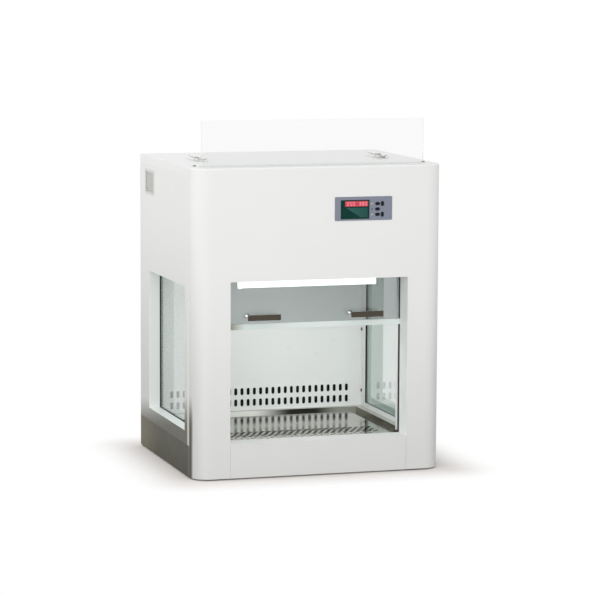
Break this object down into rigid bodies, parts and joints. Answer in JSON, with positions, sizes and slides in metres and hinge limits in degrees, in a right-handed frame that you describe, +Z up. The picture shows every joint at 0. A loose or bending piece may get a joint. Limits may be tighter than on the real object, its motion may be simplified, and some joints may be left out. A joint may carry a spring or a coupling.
{
  "type": "bench-top laminar flow cabinet",
  "caption": "White sheet-metal clean bench with a rising clear sash, deep side windows, a slotted back wall, a polished work surface, a key panel and a filtered-air head.",
  "frame": {"origin": "on the bench under the middle of the cabinet", "axes": "+X to the right seen from the front, +Y to the back, +Z up"},
  "size_m": [0.5416, 0.4486, 0.738],
  "materials": {
    "coated_steel": "smooth white powder coat, semi-gloss",
    "base_steel": "satin olive-grey coat",
    "trim_white": "pale glossy strip",
    "stainless": "brushed stainless steel",
    "polished_steel": "polished stainless steel",
    "bright_chrome": "bright chrome plate",
    "black_rubber": "matt black rubber",
    "window_glass": "clear float glass, faint green",
    "sash_acrylic": "clear sheet, polished edges",
    "panel_grey": "matt blue-grey",
    "display_glass": "dark green window",
    "readout_red": "glowing red",
    "key_black": "matt near-black",
    "lamp_white": "frosted white tube with metal caps",
    "fitting_white": "matt white",
    "plated_sheet": "zinc-plated sheet",
    "filter_aluminium": "satin aluminium",
    "filter_paper": "pleated glass-fibre paper",
    "fan_black": "black coat",
    "motor_metal": "die-cast grey",
    "grille_grey": "grey-beige coat",
    "inlet_black": "matt black"
  },
  "bodies": {
    "cabinet": {"base_frame": "base_steel", "rubber_feet": "black_rubber", "front_frame": "coated_steel", "front_sill_panel": "coated_steel", "left_side_panel": "coated_steel", "right_side_panel": "coated_steel", "left_edge_trim": "trim_white", "right_edge_trim": "trim_white", "left_side_liner": "coated_steel", "right_side_liner": "coated_steel", "left_side_glass": "window_glass", "right_side_glass": "window_glass", "left_window_gasket": "black_rubber", "right_window_gasket": "black_rubber", "window_edgings": "black_rubber", "back_liner": "coated_steel", "rear_panel": "coated_steel", "top_panel": "coated_steel", "service_lid": "coated_steel", "left_sash_guide": "coated_steel", "right_sash_guide": "coated_steel", "sash_stops": "black_rubber", "tray_well": "stainless", "work_surface": "polished_steel", "ceiling_diffuser": "coated_steel", "lamp_tube": "lamp_white", "lamp_fitting": "fitting_white", "filter_frame": "filter_aluminium", "filter_media": "filter_paper", "filter_housing": "plated_sheet", "blower_deck": "plated_sheet", "inlet_ring": "plated_sheet", "fan_motor": "motor_metal", "motor_bracket": "plated_sheet", "vent_grilles": "grille_grey", "control_bezel": "panel_grey", "control_box": "fitting_white", "display_window": "display_glass", "led_readout": "readout_red", "indicator_lamps": "key_black", "power_inlet": "inlet_black", "latch_bases": "bright_chrome", "latch_catches": "bright_chrome", "cover_screws": "bright_chrome", "liner_screws": "bright_chrome"},
    "sash": {"sash_pane": "sash_acrylic", "sash_bottom_rail": "trim_white", "left_sash_handle": "bright_chrome", "right_sash_handle": "bright_chrome", "handle_nuts": "bright_chrome"},
    "fan_wheel": {"impeller": "fan_black"},
    "power_key_cap": {"power_key": "key_black"},
    "lamp_key_cap": {"lamp_key": "key_black"},
    "fan_key_cap": {"fan_key": "key_black"},
    "plus_key_cap": {"plus_key": "key_black"},
    "minus_key_cap": {"minus_key": "key_black"},
    "left_lever": {"left_latch_lever": "bright_chrome"},
    "left_bail": {"left_latch_bail": "bright_chrome"},
    "right_lever": {"right_latch_lever": "bright_chrome"},
    "right_bail": {"right_latch_bail": "bright_chrome"}
  },
  "joints": [
    {"name": "sash_slide", "type": "slide", "parent": "cabinet", "child": "sash", "axis": [0, 0, 1], "range_m": [-0.2267, 0.07]},
    {"name": "power_key_press", "type": "slide", "parent": "cabinet", "child": "power_key_cap", "axis": [0, 1, 0], "range_m": [0, 0.001], "stiffness_N_per_m": 800},
    {"name": "lamp_key_press", "type": "slide", "parent": "cabinet", "child": "lamp_key_cap", "axis": [0, 1, 0], "range_m": [0, 0.001], "stiffness_N_per_m": 800},
    {"name": "fan_key_press", "type": "slide", "parent": "cabinet", "child": "fan_key_cap", "axis": [0, 1, 0], "range_m": [0, 0.001], "stiffness_N_per_m": 800},
    {"name": "plus_key_press", "type": "slide", "parent": "cabinet", "child": "plus_key_cap", "axis": [0, 1, 0], "range_m": [0, 0.001], "stiffness_N_per_m": 800},
    {"name": "minus_key_press", "type": "slide", "parent": "cabinet", "child": "minus_key_cap", "axis": [0, 1, 0], "range_m": [0, 0.001], "stiffness_N_per_m": 800},
    {"name": "fan_spin", "type": "hinge", "parent": "cabinet", "child": "fan_wheel", "pos_m": [0, 0.02825, 0.5005], "axis": [0, 0, 1], "continuous": true},
    {"name": "left_lever_turn", "type": "hinge", "parent": "cabinet", "child": "left_lever", "pos_m": [-0.2005, 0.0055, 0.6492], "axis": [1, 0, 0], "range_deg": [0, 120]},
    {"name": "left_bail_turn", "type": "hinge", "parent": "left_lever", "child": "left_bail", "pos_m": [-0.2005, 0.0095, 0.6492], "axis": [1, 0, 0], "range_deg": [-120, 0]},
    {"name": "right_lever_turn", "type": "hinge", "parent": "cabinet", "child": "right_lever", "pos_m": [0.2005, 0.0055, 0.6492], "axis": [1, 0, 0], "range_deg": [0, 120]},
    {"name": "right_bail_turn", "type": "hinge", "parent": "right_lever", "child": "right_bail", "pos_m": [0.2005, 0.0095, 0.6492], "axis": [1, 0, 0], "range_deg": [-120, 0]}
  ],
  "couplings": [
    {"joint": "left_bail_turn", "follows": "left_lever_turn", "ratio": -1},
    {"joint": "right_bail_turn", "follows": "right_lever_turn", "ratio": -1}
  ]
}
